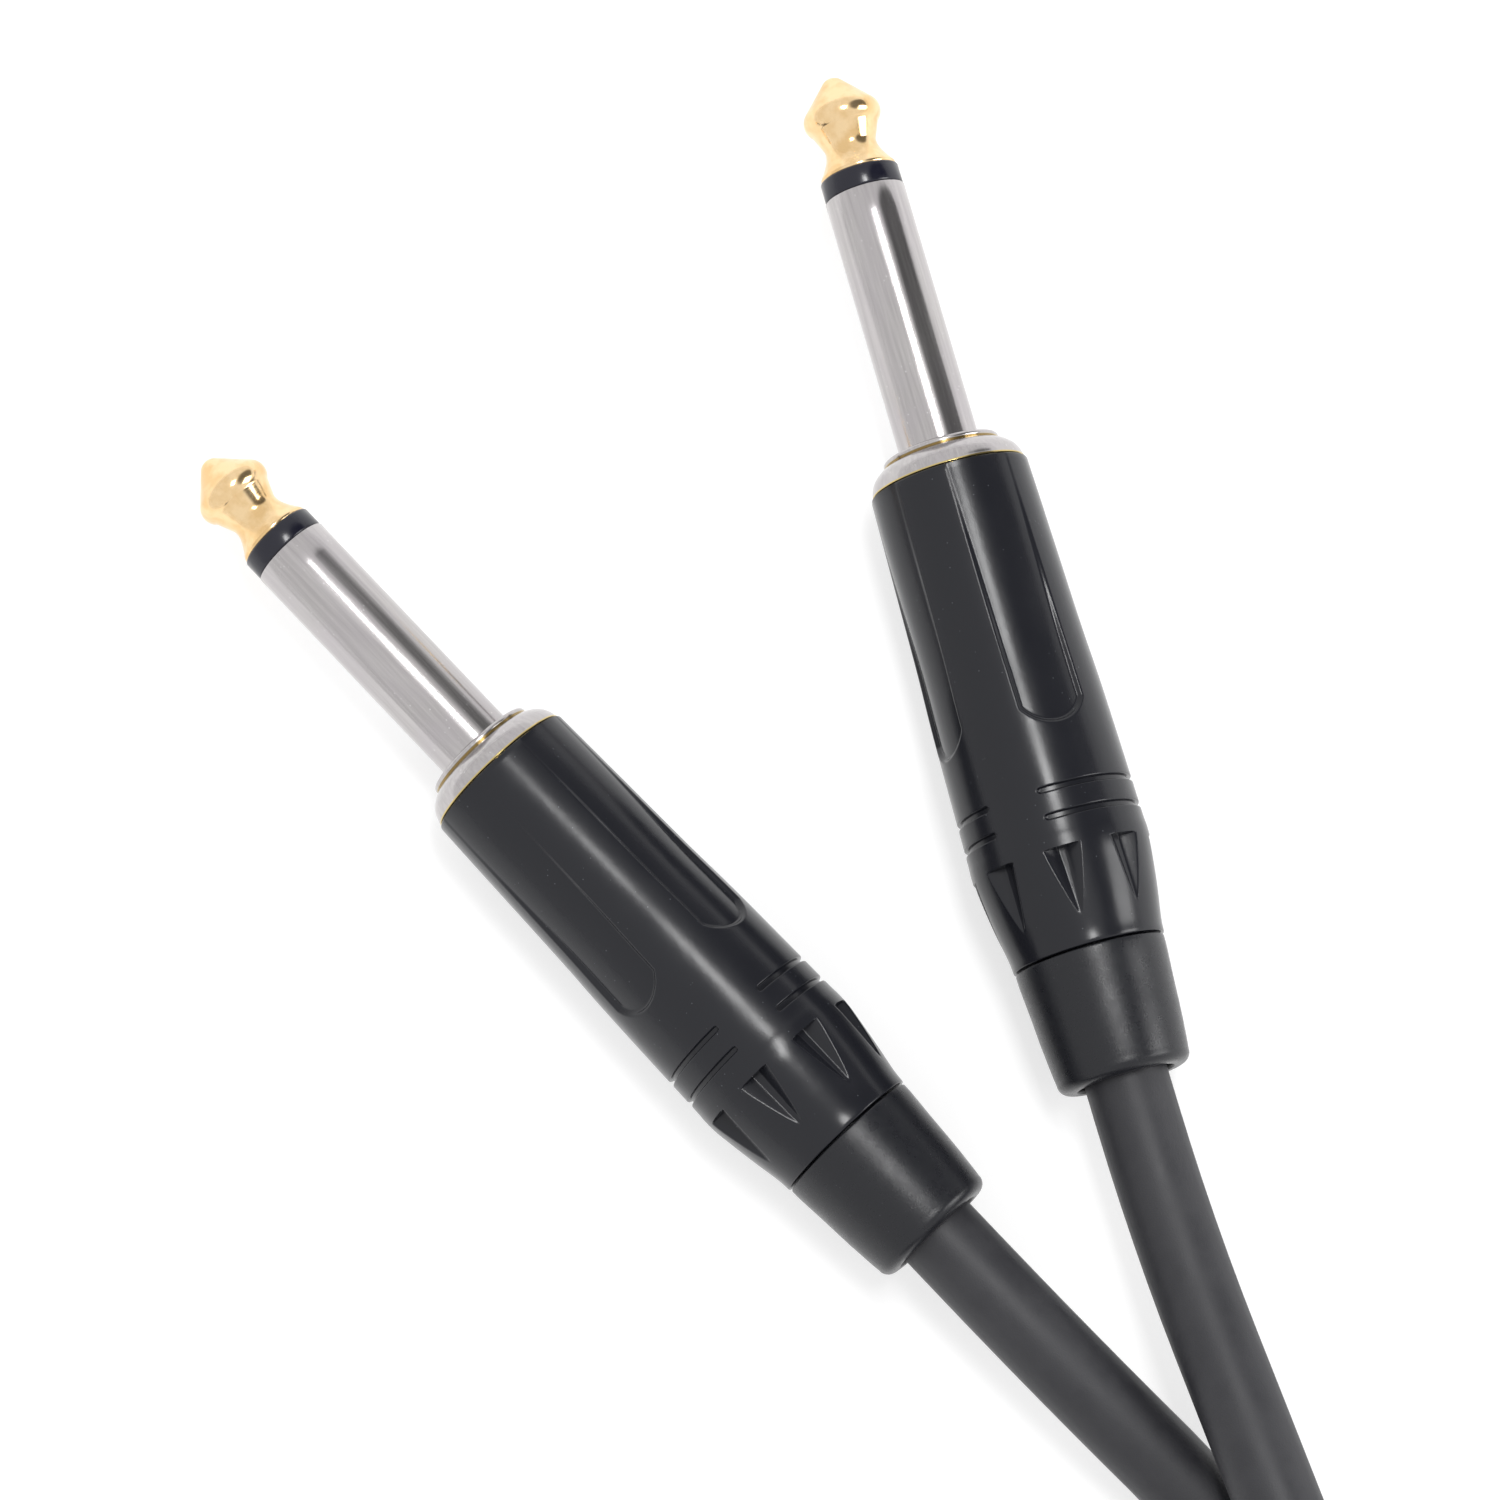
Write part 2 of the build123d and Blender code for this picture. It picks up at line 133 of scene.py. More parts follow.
# control points along a straight run, round a bend and in a whole turn
RUN_STEPS = 3
BEND_STEPS = 8
TURN_STEPS = 2 * (RUN_STEPS + BEND_STEPS)
# from layer to layer the cord drops within half a turn, swung clear of the turn beside it
DROP_TURNS = 0.5
DROP_BULGE = 0.7
# the last bend before the way out widens step by step, clear of the turn beside it
EXIT_SPREADS = (0.3, 0.6, 0.9, 1.5, 1.9)
# what the smooth line cuts off its control points on a bend
BEND_STRETCH = 1.0194
# the tie holds the left run this far up and in
TIE_LIFT = 1.2


def hank_point(step, radius, height):
    """A control point of the hank: down its right run, round, up its left run, round."""
    within = step % TURN_STEPS
    bend = pi / BEND_STEPS
    wide = radius * BEND_STRETCH
    south = HANK_NORTH - HANK_STRAIGHT
    if within <= RUN_STEPS:
        return (HANK_X + radius, HANK_NORTH - HANK_STRAIGHT * within / RUN_STEPS, height)
    if within < RUN_STEPS + BEND_STEPS:
        angle = -bend * (within - RUN_STEPS)
        return (HANK_X + wide * cos(angle), south + wide * sin(angle), height)
    up = within - RUN_STEPS - BEND_STEPS
    if up <= RUN_STEPS:
        held = TIE_LIFT if 0 < up < RUN_STEPS else 0.0
        return (HANK_X - radius + held, south + HANK_STRAIGHT * up / RUN_STEPS, height + held)
    angle = pi - bend * (up - RUN_STEPS)
    return (HANK_X + wide * cos(angle), HANK_NORTH + wide * sin(angle), height)


def hank_points():
    """The hank's turns: in along the top layer, out along the next, down to the floor."""
    layer_steps = round(LAYER_TURNS * TURN_STEPS)
    drop_steps = round(DROP_TURNS * TURN_STEPS)
    points = []
    step = 0
    for layer in range(LAYERS):
        height = CABLE_RADIUS + PITCH * (LAYERS - 1 - layer)
        inward = layer % 2 == 0
        start, grow = (HANK_OUTER, -PITCH) if inward else (HANK_INNER, PITCH)
        for n in range(layer_steps + 1):
            points.append(hank_point(step + n, start + grow * n / TURN_STEPS, height))
        step += layer_steps
        if layer < LAYERS - 1:
            side = -1 if inward else 1
            last = start + grow * LAYER_TURNS
            for n in range(1, drop_steps):
                along = n / drop_steps
                bulge = side * DROP_BULGE * sin(pi * along)
                points.append(hank_point(step + n, last + bulge, height - PITCH * along))
            step += drop_steps
    for n, spread in enumerate(EXIT_SPREADS, start=1):
        points.append(hank_point(step + n, HANK_OUTER + spread, CABLE_RADIUS))
    return points


# where the cord keeps to a plug's axis, and where it comes out of the boot
CORD_STATIONS = (53.5, 65.0, 76.0)
in_plug = {end: [on_axis(end, at) / MM for at in CORD_STATIONS] for end in "ab"}
cord_points = [
    *in_plug["b"],
    *ROUTE_B,
    *hank_points(),
    *reversed(ROUTE_A),
    *reversed(in_plug["a"]),
]


def round_curve(name, points, radius):
    """A round bar along the smooth line that these points control."""
    curve = bpy.data.curves.new(name, "CURVE")
    curve.dimensions = "3D"
    curve.bevel_depth = radius
    curve.bevel_resolution = 8
    curve.use_fill_caps = True
    spline = curve.splines.new("NURBS")
    spline.points.add(len(points) - 1)
    for control, point in zip(spline.points, points):
        control.co = (*(Vector(point) * MM), 1.0)
        # the bevel is in millimetres, and each point's radius scales it to metres
        control.radius = MM
    spline.order_u = 3
    spline.use_endpoint_u = True
    spline.resolution_u = 6
    bar = bpy.data.objects.new(name, curve)
    scene.collection.objects.link(bar)
    return bar


def solid(name, points, faces, crease):
    """A mesh object from points in metres, smooth but for its edges sharper than crease."""
    mesh = bpy.data.meshes.new(name)
    mesh.from_pydata(points, [], faces)
    mesh.shade_smooth()
    mesh.set_sharp_from_angle(angle=radians(crease))
    made = bpy.data.objects.new(name, mesh)
    scene.collection.objects.link(made)
    return made


cable = round_curve("cable", cord_points, CABLE_RADIUS)

# the hook-and-loop tie round the hank's left run
TIE_WIDTH = 16.0
TIE_THICK = 1.1
TIE_GAP = 0.05
TIE_ROUND = 3.0
TIE_SPACING = 0.5
# the strap climbs onto its own start within TIE_CLIMB and goes on to the end of the overlap
TIE_CLIMB = 3.0
TIE_OVERLAP = 24.0
# its ends narrow in a round of this length, to this share of the width
TIE_END_ROUND = 4.0
TIE_END_SHARE = 0.55


def round_box_point(distance, half_x, half_z, corner):
    """A point and its outward normal, a distance along a rounded rectangle's line."""
    flat_x = 2 * (half_x - corner)
    flat_z = 2 * (half_z - corner)
    quarter = pi * corner / 2
    sides = [(flat_x, 0), (flat_z, 1), (flat_x, 2), (flat_z, 3)]
    corners = [(half_x - corner, half_z - corner), (half_x - corner, corner - half_z),
               (corner - half_x, corner - half_z), (corner - half_x, half_z - corner)]
    left = distance % (2 * (flat_x + flat_z) + 4 * quarter)
    for (flat, side), (cx, cz) in zip(sides, corners):
        facing = pi / 2 - side * pi / 2
        out = Vector((cos(facing), sin(facing)))
        along = Vector((out.y, -out.x))
        if left <= flat:
            end = Vector((cx, cz)) + out * corner
            return end - along * (flat - left), out
        left -= flat
        if left <= quarter:
            out = Vector((cos(facing - left / corner), sin(facing - left / corner)))
            return Vector((cx, cz)) + out * corner, out
        left -= quarter
    return Vector((-half_x + corner, half_z)), Vector((0, 1))


def tie_band():
    """A strap wound once round the left run and back over itself, with rounded ends."""
    across = HANK_OUTER - HANK_INNER + PITCH
    high = LAYERS * PITCH
    centre_x = HANK_X - HANK_OUTER - CABLE_RADIUS + TIE_LIFT + across / 2
    centre_z = TIE_LIFT + high / 2
    middle = HANK_NORTH - HANK_STRAIGHT / 2
    around = 2 * (across + high) - (8 - 2 * pi) * TIE_ROUND
    total = around + TIE_OVERLAP
    count = round(total / TIE_SPACING)
    cross_section = ((0, -1), (1, -1), (1, 1), (0, 1))
    points = []
    for n in range(count + 1):
        distance = total * n / count
        spot, out = round_box_point(distance, across / 2, high / 2, TIE_ROUND)
        climb = (distance - around + TIE_CLIMB) / TIE_CLIMB
        lift = TIE_THICK * min(1.0, max(0.0, climb))
        to_end = min(distance, total - distance)
        short = min(1.0, to_end / TIE_END_ROUND)
        bow = (1 - (1 - short) ** 2) ** 0.5
        half = TIE_WIDTH / 2 * (TIE_END_SHARE + (1 - TIE_END_SHARE) * bow)
        for layer, side in cross_section:
            skin = spot + out * (lift + TIE_GAP + TIE_THICK * layer)
            points.append(Vector((centre_x + skin.x, middle + side * half, centre_z + skin.y)) * MM)
    faces = [(3, 2, 1, 0)]
    for n in range(count):
        for k in range(4):
            a, b = 4 * n + k, 4 * n + (k + 1) % 4
            faces.append((a, b, b + 4, a + 4))
    last = 4 * count
    faces.append((last, last + 1, last + 2, last + 3))
    return solid("tie_strap", points, faces, 50)


tie = tie_band()
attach(tie, "cable_and_inserts")
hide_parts("cable_tie")

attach(cable, "cable_and_inserts")
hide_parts("cable_lead_a", "cable_lead_b", "cable_hank", "jacket_end_a", "jacket_end_b")

# ---------------------------------------------------------------- turned pieces of a plug


def smooth_line(points, step):
    """Points along a smooth line through the given ones, about step apart."""
    knots = [Vector(p) for p in points]
    knots = [knots[0] * 2 - knots[1], *knots, knots[-1] * 2 - knots[-2]]
    line = []
    for before, here, after, beyond in zip(knots, knots[1:], knots[2:], knots[3:]):
        parts = max(1, round((after - here).length / step))
        for n in range(parts):
            t = n / parts
            line.append(0.5 * (2 * here + (after - before) * t
                               + (2 * before - 5 * here + 4 * after - beyond) * t * t
                               + (3 * here - before - 3 * after + beyond) * t * t * t))
    line.append(knots[-2])
    return [tuple(p) for p in line]


def arc(centre, radius, start, end, parts):
    """Points of an arc in (station, radius), angles in degrees from the tip's direction."""
    turns = [radians(start + (end - start) * n / parts) for n in range(parts + 1)]
    return [(centre[0] - radius * cos(t), centre[1] + radius * sin(t)) for t in turns]


def turned(name, profile, columns, crease, relief=None):
    """A turned mesh from (station, radius) rows, with relief(angle, station, radius) if given.

    It makes no caps: a profile ends where it started, or starts and ends close to the axis.
    """
    angle = np.arange(columns) * 2 * pi / columns
    station = np.array([p[0] for p in profile])[:, None]
    radius = np.array([p[1] for p in profile])[:, None] * np.ones(columns)
    if relief:
        radius = relief(angle[None, :], station, radius)
    x = radius * np.cos(angle)
    y = radius * np.sin(angle)
    z = station * np.ones(columns)
    points = (np.stack([x, y, z], axis=-1) * MM).reshape(-1, 3)
    row, column = np.meshgrid(np.arange(len(profile) - 1), np.arange(columns), indexing="ij")
    here = row * columns
    right = (column + 1) % columns
    faces = np.stack([here + column, here + right, here + columns + right,
                      here + columns + column], axis=-1).reshape(-1, 4)
    return solid(name, points.tolist(), faces.tolist(), crease)


def fit_plug(make, name, node, body, finish):
    """One piece on each plug, in place of the CAD node."""
    for end in "ab":
        piece = make(f"{name}_{end}")
        piece.matrix_world = place[end]
        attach(piece, body.format(end=end))
        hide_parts(f"{node}_{end}")
        piece.data.materials.append(finish)


def soft_step(value, low, high):
    """0 below low, 1 above high, smooth between."""
    t = np.clip((value - low) / (high - low), 0, 1)
    return t * t * (3 - 2 * t)


# tip: rounded nose, cone, ball, waisted neck and rim, then the rod through the plug
NOSE_RADIUS = 1.1
NOSE_HALF_ANGLE = 43.0
BALL_RADIUS = 3.1
BALL_ROUND = 1.2
NECK = (5.75, 2.07)
TIP_END = 8.1
TIP_RIM = 3.0
ROD_RADIUS = 1.2
ROD_END = 41.1
RIVET_RADIUS = 1.6
RIVET_END = 41.7


def tip_mesh(name):
    """The whole tip contact, from its nose to the riveted end of its rod."""
    lean = radians(NOSE_HALF_ANGLE)
    touch = (NOSE_RADIUS * (1 - sin(lean)), NOSE_RADIUS * cos(lean))
    ball_line = BALL_RADIUS - BALL_ROUND
    ball_touch_at = touch[0] + (ball_line + BALL_ROUND * cos(lean) - touch[1]) / tan(lean)
    ball_at = ball_touch_at + BALL_ROUND * sin(lean)
    nose = arc((NOSE_RADIUS, 0), NOSE_RADIUS, 1, 90 - NOSE_HALF_ANGLE, 12)
    ball = arc((ball_at, ball_line), BALL_ROUND, 90 - NOSE_HALF_ANGLE, 140, 18)
    cone = smooth_line([nose[-1], ball[0]], 0.15)[1:-1]
    waist = [ball[-1], (5.15, 2.28), NECK, (6.4, 2.16), (7.1, 2.5), (7.78, 2.94)]
    rim = [(7.84, 2.985), (7.9, TIP_RIM), (8.04, TIP_RIM), (TIP_END, 2.95)]
    rod = [(TIP_END, ROD_RADIUS), (ROD_END, ROD_RADIUS), (ROD_END, RIVET_RADIUS),
           (41.5, RIVET_RADIUS), (RIVET_END, 1.2), (RIVET_END, 0.01)]
    return turned(name, nose + cone + ball + smooth_line(waist, 0.12)[1:] + rim + rod, 224, 40)


# insulating ring, with the spigot that sits in the sleeve's end
RING_RADIUS = 3.13
RING_END = 9.75
SPIGOT_RADIUS = 2.0
SPIGOT_END = 11.25


def ring_mesh(name):
    """The black ring between tip and sleeve."""
    front = [(TIP_END, ROD_RADIUS), (TIP_END, 2.98), (8.15, 3.08), (8.25, RING_RADIUS)]
    rear = [(9.6, RING_RADIUS), (9.7, 3.1), (RING_END, 3.05), (RING_END, SPIGOT_RADIUS)]
    spigot = [(SPIGOT_END, SPIGOT_RADIUS), (SPIGOT_END, ROD_RADIUS), (TIP_END, ROD_RADIUS)]
    return turned(name, front + rear + spigot, 160, 50)


# outer threads, on the sleeve for the shell and on the gland
THREAD_PITCH = 1.0
THREAD_DEPTH = 0.28
THREAD_LENGTH = 4.7
THREAD_RUN_IN = 0.7
THREAD_RUN_OUT = 0.5
# a tooth's flank: how steep it is, and how much of it the flat crest takes away
TOOTH_SLOPE = 2.6
TOOTH_FLAT = 0.25
# only rows this close to the crest are cut
CREST_REACH = 0.02


def thread_line(start, crest, rows):
    """Rows along a thread's crest, close enough together for its relief."""
    return [(start + THREAD_LENGTH * n / rows, crest) for n in range(rows + 1)]


def thread(start, end, crest):
    """Relief of a right-handed outer thread that fades in and out at its ends."""
    def relief(angle, station, radius):
        phase = (station / THREAD_PITCH - angle / (2 * pi)) % 1.0
        tooth = np.clip(np.abs(phase - 0.5) * TOOTH_SLOPE - TOOTH_FLAT, 0, 1)
        run_in = soft_step(station, start, start + THREAD_RUN_IN)
        run_out = 1 - soft_step(station, end - THREAD_RUN_OUT, end)
        on_crest = np.abs(radius - crest) < CREST_REACH
        return radius - THREAD_DEPTH * tooth * (run_in * run_out) * on_crest
    return relief


# sleeve with its shoulder ring, domed collar and the thread behind it
SLEEVE_RADIUS = 3.175
SLEEVE_END = 31.0
SHOULDER_RADIUS = 4.6
DOME_LINE = [(31.56, SHOULDER_RADIUS), (31.72, 4.95), (32.05, 5.42), (32.5, 5.8), (33.0, 6.0),
             (33.3, 6.07)]
COLLAR_END = 33.5
SLEEVE_THREAD_RADIUS = 5.0


def sleeve_mesh(name):
    """The sleeve from the insulating ring to the back of its thread, and its bore."""
    barrel = [(SPIGOT_END, SPIGOT_RADIUS), (RING_END, SPIGOT_RADIUS), (RING_END, 3.04), (9.78, 3.12)]
    barrel += [(at, SLEEVE_RADIUS) for at in (9.86, 12.0, 16.0, 20.0, 24.0, 28.0, 30.5, SLEEVE_END)]
    shoulder = [(SLEEVE_END, 4.35), (31.06, 4.5), (31.16, 4.58), (31.28, SHOULDER_RADIUS),
                (31.38, 4.58), (31.45, 4.5), (31.5, 4.52)]
    dome = smooth_line(DOME_LINE, 0.1)
    rim = [(33.38, 6.1), (33.44, 6.1), (COLLAR_END, 6.04)]
    screw = thread_line(COLLAR_END, SLEEVE_THREAD_RADIUS, 52)
    rear = [(38.5, 4.7), (38.5, 3.0), (39.4, 2.9), (39.4, SPIGOT_RADIUS), (SPIGOT_END, SPIGOT_RADIUS)]
    return turned(name, barrel + shoulder + dome + rim + screw + rear, 192, 40,
                  thread(33.6, 38.4, SLEEVE_THREAD_RADIUS))


# shell: four long flutes, two grooves and a crown of eight notches
SHELL_LINE = [(33.68, 6.255), (36.9, 6.335), (41.6, 6.44), (47.5, 6.575), (52.1, 6.75), (58.0, 6.875),
              (62.7, 6.95), (63.8, 7.0), (64.9, 6.965), (66.2, 6.8), (68.5, 6.45), (70.8, 6.05),
              (71.9, 5.95)]
# (from, to, spacing) of the mesh rows along that line, finest where the cuts have edges
SHELL_ROWS = [(33.68, 52.0, 0.4), (52.0, 56.0, 0.1), (56.0, 59.6, 0.3), (59.6, 62.6, 0.05),
              (62.6, 64.3, 0.2), (64.3, 64.7, 0.04), (64.7, 70.6, 0.14), (70.6, 71.9, 0.2)]
SHELL_COLUMNS = 512
# cuts are made only behind this station and outside this radius
SHELL_FACE = 33.6
SHELL_SKIN = 5.6

# flutes: their half angle gives their half width where the shell has this radius
FLUTE_HALF_ANGLE = 25.0
FLUTE_AT_RADIUS = 6.575
FLUTE_DEPTH = 0.38
FLUTE_END = 55.2
FLUTE_END_RADIUS = 3.15
FLUTE_EDGE = 0.36
# towards the front they fade to this share of their depth
FLUTE_FADE = (35.0, 52.0)
FLUTE_FRONT = 0.12

GROOVES = (60.0, 62.1)
GROOVE_HALF_WIDTH = 0.25
GROOVE_DEPTH = 0.32
GROOVE_EDGE = (-0.02, 0.1)
GROOVE_HALF_ARC = radians(72.5)

# notches: floor radius and flat half width at the start and at the end
NOTCH_START = 64.4
NOTCH_END = 70.2
NOTCH_RUN_OUT = 1.5
NOTCH_FLOOR = (6.0, 6.27)
NOTCH_HALF_WIDTH = (0.3, 0.02)
NOTCH_SLOPE = 1.25
NOTCH_ROUND = 0.1
# the front wall's edges, measured from the start, and the height from which it falls
NOTCH_WALL = (-0.03, 0.13)
NOTCH_WALL_HEIGHT = 3.0


def flute_depth(angle, station, radius):
    """How deep the four flutes are; each ends in a round that is wider than the flute."""
    off = (angle + pi / 4) % (pi / 2) - pi / 4
    half = FLUTE_AT_RADIUS * sin(radians(FLUTE_HALF_ANGLE))
    aside = np.abs(radius * np.sin(off))
    past = np.maximum(station - (FLUTE_END - FLUTE_END_RADIUS), 0)
    within = np.minimum(half - aside, FLUTE_END_RADIUS - np.hypot(aside, past))
    fade = FLUTE_FRONT + (1 - FLUTE_FRONT) * soft_step(station, *FLUTE_FADE)
    return FLUTE_DEPTH * fade * soft_step(within, 0.0, FLUTE_EDGE)


def groove_depth(angle, station, radius):
    """How deep the grooves are; two lands break each, and its ends are round."""
    off = (angle - pi / 4) % pi - pi / 2
    past = np.maximum(np.abs(radius * off) - radius * GROOVE_HALF_ARC + GROOVE_HALF_WIDTH, 0)
    depth = np.zeros_like(radius)
    for at in GROOVES:
        within = GROOVE_HALF_WIDTH - np.hypot(past, station - at)
        depth = np.maximum(depth, GROOVE_DEPTH * soft_step(within, *GROOVE_EDGE))
    return depth


def notch_surface(angle, station, radius):
    """The radius of the eight notches' surface, which is endless where there are none."""
    off = (angle % (pi / 4)) - pi / 8
    along = np.clip((station - NOTCH_START) / (NOTCH_END - NOTCH_START), 0, 1)
    bottom = NOTCH_FLOOR[0] + (NOTCH_FLOOR[1] - NOTCH_FLOOR[0]) * along
    flat = NOTCH_HALF_WIDTH[0] + (NOTCH_HALF_WIDTH[1] - NOTCH_HALF_WIDTH[0]) * along
    rise = np.maximum(np.abs(radius * np.sin(off)) - flat, 0)
    rise = np.hypot(rise, NOTCH_ROUND) - NOTCH_ROUND
    surface = (bottom + rise / NOTCH_SLOPE) / np.cos(off)
    entry = soft_step(station, NOTCH_START + NOTCH_WALL[0], NOTCH_START + NOTCH_WALL[1])
    surface = surface + (1 - entry) * NOTCH_WALL_HEIGHT
    return np.where(station < NOTCH_END + NOTCH_RUN_OUT, surface, np.inf)


def shell_relief(angle, station, radius):
    """Flutes, grooves and notches cut into the shell's outer line."""
    cut = np.maximum(flute_depth(angle, station, radius), groove_depth(angle, station, radius))
    made = np.minimum(radius - cut, notch_surface(angle, station, radius))
    return np.where((station > SHELL_FACE) & (radius >= SHELL_SKIN), made, radius)


def shell_mesh(name):
    """The shell, with its cuts outside and a plain bore of three widths inside."""
    line = np.array(smooth_line(SHELL_LINE, 0.05))
    stations = []
    for low, high, spacing in SHELL_ROWS:
        stations += list(np.linspace(low, high, round((high - low) / spacing), endpoint=False))
    stations.append(SHELL_LINE[-1][0])
    outer = [(at, float(np.interp(at, line[:, 0], line[:, 1]))) for at in stations]
    front = [(39.5, 5.4), (39.5, 5.05), (33.75, 5.05), (33.55, 5.25), (33.55, 6.1), (33.57, 6.17),
             (SHELL_FACE, 6.22)]
    rear = [(71.97, 5.92), (72.0, 5.84), (72.0, 4.8), (58.0, 4.8), (56.0, 5.4), (39.5, 5.4)]
    return turned(name, front + outer + rear, SHELL_COLUMNS, 55, shell_relief)


# boot, and the gland it is moulded on
BOOT_LINE = [(72.3, 5.85), (73.2, 5.82), (75.5, 5.65), (77.9, 5.5), (80.2, 5.3), (81.05, 5.2)]
GLAND_RADIUS = 4.3
GLAND_END = 76.0
GLAND_THREAD_RADIUS = 4.75
GLAND_THREAD_START = 67.1


def boot_mesh(name):
    """The soft boot: front face, tapered outside, rounded rear and the mouth round the cable."""
    front = [(GLAND_END, GLAND_RADIUS), (72.15, GLAND_RADIUS), (72.15, 5.7), (72.18, 5.79), (72.24, 5.84)]
    rear = arc((81.1, 4.33), 0.88, 100, 176, 9)
    mouth = [(82.0, 4.1), (81.97, 3.85), (81.85, 3.76), (81.6, 3.75), (80.9, 3.75), (80.9, 3.5),
             (GLAND_END, 3.5), (GLAND_END, GLAND_RADIUS)]
    return turned(name, front + smooth_line(BOOT_LINE, 0.3) + rear + mouth, 192, 45)


def gland_mesh(name):
    """The threaded gland, with a conical bore for the chuck."""
    bore = [(GLAND_END, GLAND_RADIUS), (GLAND_END, 3.55), (70.4, 3.55), (67.3, 4.37), (66.9, 4.37),
            (66.9, 4.5)]
    screw = thread_line(GLAND_THREAD_START, GLAND_THREAD_RADIUS, 53)
    rear = [(72.0, 4.6), (72.0, GLAND_RADIUS), (GLAND_END, GLAND_RADIUS)]
    return turned(name, bore + screw + rear, 160, 40,
                  thread(GLAND_THREAD_START, 72.0, GLAND_THREAD_RADIUS))


# ---------------------------------------------------------------- floor and light

# the floor's outline in (radius, height): flat, then a cove up to its rim
FLOOR_LINE = [(3.0, 0.0), (3.6, 0.05), (4.1, 0.2), (4.5, 0.5), (4.7, 1.0)]
FLOOR_COLUMNS = 64
FLOOR_GREY = 0.5
FLOOR_GLOW = 0.58


def floor_dish():
    """The round floor sheet."""
    turns = [2 * pi * k / FLOOR_COLUMNS for k in range(FLOOR_COLUMNS)]
    points = [(radius * cos(t), radius * sin(t), height) for radius, height in FLOOR_LINE for t in turns]
    faces = [tuple(range(FLOOR_COLUMNS))]
    for row in range(len(FLOOR_LINE) - 1):
        here = row * FLOOR_COLUMNS
        above = here + FLOOR_COLUMNS
        for k in range(FLOOR_COLUMNS):
            right = (k + 1) % FLOOR_COLUMNS
            faces.append((above + k, above + right, here + right, here + k))
    mesh = bpy.data.meshes.new("floor")
    mesh.from_pydata(points, [], faces)
    sheet = bpy.data.objects.new("floor", mesh)
    scene.collection.objects.link(sheet)
    return sheet


def floor_finish():
    """Pale matt paper with a little light of its own, so that shadows stay faint."""
    material = bpy.data.materials.new("floor")
    material.use_nodes = True
    inputs = material.node_tree.nodes["Principled BSDF"].inputs
    inputs["Base Color"].default_value = (FLOOR_GREY, FLOOR_GREY, FLOOR_GREY, 1)
    inputs["Roughness"].default_value = 0.9
    inputs["Emission Color"].default_value = (1, 1, 1, 1)
    inputs["Emission Strength"].default_value = FLOOR_GLOW
    return material


floor = floor_dish()
floor.data.materials.append(floor_finish())

# the sky's brightness, and the dark patch in it that the plugs mirror as a dark stripe
SKY = 0.95
DARK_SIDE = 0.17
DARK_AZIMUTH = radians(8.0)
DARK_ELEVATION = radians(33.0)
DARK_INNER = radians(26.0)
DARK_OUTER = radians(38.0)


def studio_sky(tree):
    """An even white sky with one soft dark patch on the right."""
    nodes, links = tree.nodes, tree.links
    across = cos(DARK_ELEVATION)
    towards = (across * cos(DARK_AZIMUTH), across * sin(DARK_AZIMUTH), sin(DARK_ELEVATION))
    where = nodes.new("ShaderNodeTexCoord").outputs["Generated"]
    near = nodes.new("ShaderNodeVectorMath")
    near.operation = "DOT_PRODUCT"
    near.inputs[1].default_value = towards
    links.new(where, near.inputs[0])
    patch = nodes.new("ShaderNodeMapRange")
    patch.interpolation_type = "SMOOTHSTEP"
    patch.inputs["From Min"].default_value = cos(DARK_OUTER)
    patch.inputs["From Max"].default_value = cos(DARK_INNER)
    patch.inputs["To Min"].default_value = SKY
    patch.inputs["To Max"].default_value = DARK_SIDE
    links.new(near.outputs["Value"], patch.inputs["Value"])
    nodes["Background"].inputs["Color"].default_value = (1, 1, 1, 1)
    links.new(patch.outputs["Result"], nodes["Background"].inputs["Strength"])


world = bpy.data.worlds.new("studio")
scene.world = world
world.use_nodes = True
studio_sky(world.node_tree)
scene.view_settings.view_transform = "Standard"

LAMP_DISTANCE = 1.2


def softbox(name, azimuth, elevation, width, depth, radiance):
    """A rectangular lamp of even brightness that faces the plugs, its depth along Y."""
    data = bpy.data.lights.new(name, "AREA")
    data.shape = "RECTANGLE"
    data.size = width
    data.size_y = depth
    data.energy = radiance * pi * width * depth
    lamp = bpy.data.objects.new(name, data)
    a, e = radians(azimuth), radians(elevation)
    towards = Vector((cos(a) * cos(e), sin(a) * cos(e), sin(e)))
    across = Vector((0, 1, 0)).cross(towards).normalized()
    turn = Matrix((across, towards.cross(across), towards)).transposed()
    lamp.matrix_world = Matrix.Translation(towards * LAMP_DISTANCE) @ turn.to_4x4()
    scene.collection.objects.link(lamp)


softbox("key", azimuth=34, elevation=79.5, width=0.2, depth=0.42, radiance=20.0)
softbox("side", azimuth=-14, elevation=24, width=0.5, depth=0.5, radiance=7.0)

# ---------------------------------------------------------------- materials


